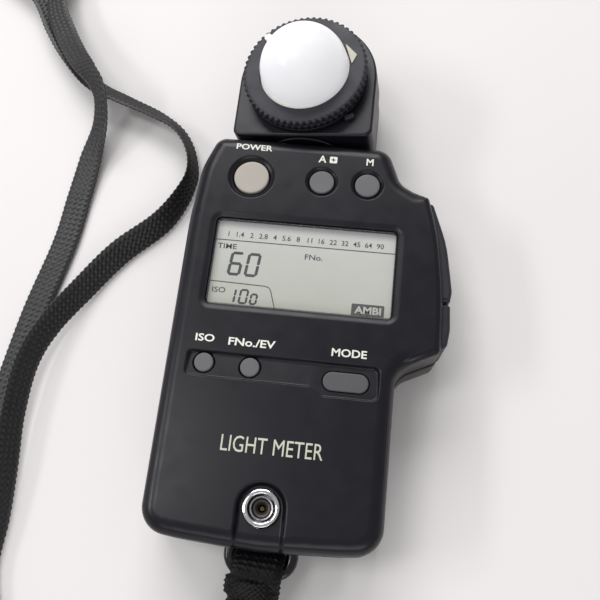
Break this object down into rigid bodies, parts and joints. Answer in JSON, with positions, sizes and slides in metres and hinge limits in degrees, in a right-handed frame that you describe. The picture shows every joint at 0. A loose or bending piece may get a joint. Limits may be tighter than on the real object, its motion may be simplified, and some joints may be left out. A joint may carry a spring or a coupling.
{
  "type": "handheld light meter",
  "caption": "Pocket exposure meter with a display, keys, a finger recess, a swivelling head that carries a white dome diffuser, and a woven neck strap.",
  "frame": {"origin": "on the flat back, on the head's swivel centre line, level with the middle of the display", "axes": "+Z out of the display, +Y from the strap lug towards the head, +X across to the side with the measuring key"},
  "size_m": [0.1727, 0.2744, 0.0419],
  "materials": {
    "case_black": "fine satin texture",
    "deep_black": "glossy black moulding",
    "inner_black": "matt moulding",
    "side_key": "matt rubbery moulding",
    "key_grey": "satin key cap",
    "key_light": "satin warm grey key cap",
    "diffuser_white": "translucent satin white",
    "mark_cream": "painted mark",
    "window_clear": "clear acrylic",
    "lcd_panel": "grey-green reflective display",
    "chrome": "bright nickel plate",
    "steel": "plain steel",
    "screw_black": "black oxide",
    "brass": "turned brass",
    "insulator": "brown phenolic",
    "board": "solder-masked laminate",
    "chip": "moulded package",
    "key_rubber": "silicone rubber",
    "contact_rubber": "layered elastomer",
    "battery_jacket": "printed metal jacket",
    "filter": "tinted glass",
    "cell": "silicon cell in its cap",
    "lead": "flexible insulation",
    "strap": "flat woven braid"
  },
  "bodies": {
    "housing": {"front_case": "case_black", "rear_case": "case_black", "case_screw_1": "screw_black", "case_screw_2": "screw_black", "case_screw_3": "screw_black", "case_screw_4": "screw_black", "display_window": "window_clear", "display_frame": "inner_black", "display_panel": "lcd_panel", "display_contact_upper": "contact_rubber", "display_contact_lower": "contact_rubber", "key_sheet_upper": "key_rubber", "key_sheet_lower": "key_rubber", "main_board": "board", "processor": "chip", "side_switch_board": "board", "measure_switch": "chip", "up_switch": "chip", "down_switch": "chip", "sync_barrel": "chrome", "sync_sleeve": "chrome", "sync_insulator": "insulator", "sync_contact": "brass", "sync_nut": "steel", "battery": "battery_jacket", "battery_chamber": "inner_black", "plus_contact": "steel", "minus_spring": "steel", "strap_lug": "deep_black", "swivel_bush": "brass", "friction_washer": "steel", "head_lead": "lead", "strap": "strap", "strap_hitch": "strap"},
    "head": {"head_front": "case_black", "head_rear": "case_black", "head_screw_1": "screw_black", "head_screw_2": "screw_black", "neck_shaft": "deep_black", "shaft_clip": "steel", "bayonet_mount": "inner_black", "filter_holder": "inner_black", "correction_filter": "filter", "photocell": "cell", "sensor_board": "board", "diffuser_stop": "inner_black"},
    "diffuser": {"diffuser_ring": "case_black", "diffuser_dome": "diffuser_white", "index_mark": "mark_cream"},
    "battery_cover": {"battery_cover": "case_black"},
    "measure_key": {"measure_key": "side_key"},
    "up_down_key": {"up_down_key": "side_key"},
    "power_key": {"power_key": "key_light"},
    "auto_key": {"auto_key": "key_grey"},
    "memory_key": {"memory_key": "key_grey"},
    "iso_key": {"iso_key": "key_grey"},
    "fnumber_key": {"fnumber_key": "key_grey"},
    "mode_key": {"mode_key": "key_grey"}
  },
  "joints": [
    {"name": "head_swivel", "type": "hinge", "parent": "housing", "child": "head", "pos_m": [0, 0.0385, 0.0122], "axis": [0, 1, 0], "range_deg": [-82.3, 187.7]},
    {"name": "diffuser_twist", "type": "hinge", "parent": "head", "child": "diffuser", "pos_m": [-0.00196, 0.0575, 0.02667], "axis": [-0.134, 0, 0.991], "range_deg": [0, 45]},
    {"name": "battery_cover_slide", "type": "slide", "parent": "housing", "child": "battery_cover", "axis": [-1, 0, 0], "range_m": [0, 0.009]},
    {"name": "measure_key_press", "type": "slide", "parent": "housing", "child": "measure_key", "axis": [-1, 0, 0], "range_m": [0, 0.0007], "stiffness_N_per_m": 600, "springref_m": -0.0005},
    {"name": "up_down_key_rock", "type": "hinge", "parent": "housing", "child": "up_down_key", "pos_m": [0.0396, -0.0122, 0.0125], "axis": [0, 0, 1], "range_deg": [-4, 4], "stiffness_Nm_per_rad": 0.02},
    {"name": "power_key_press", "type": "slide", "parent": "housing", "child": "power_key", "axis": [0, 0, -1], "range_m": [0, 0.0005], "stiffness_N_per_m": 600, "springref_m": -0.0005},
    {"name": "auto_key_press", "type": "slide", "parent": "housing", "child": "auto_key", "axis": [0, 0, -1], "range_m": [0, 0.0005], "stiffness_N_per_m": 600, "springref_m": -0.0005},
    {"name": "memory_key_press", "type": "slide", "parent": "housing", "child": "memory_key", "axis": [0, 0, -1], "range_m": [0, 0.0005], "stiffness_N_per_m": 600, "springref_m": -0.0005},
    {"name": "iso_key_press", "type": "slide", "parent": "housing", "child": "iso_key", "axis": [0, 0, -1], "range_m": [0, 0.0005], "stiffness_N_per_m": 600, "springref_m": -0.0005},
    {"name": "fnumber_key_press", "type": "slide", "parent": "housing", "child": "fnumber_key", "axis": [0, 0, -1], "range_m": [0, 0.0005], "stiffness_N_per_m": 600, "springref_m": -0.0005},
    {"name": "mode_key_press", "type": "slide", "parent": "housing", "child": "mode_key", "axis": [0, 0, -1], "range_m": [0, 0.0005], "stiffness_N_per_m": 600, "springref_m": -0.0005}
  ]
}
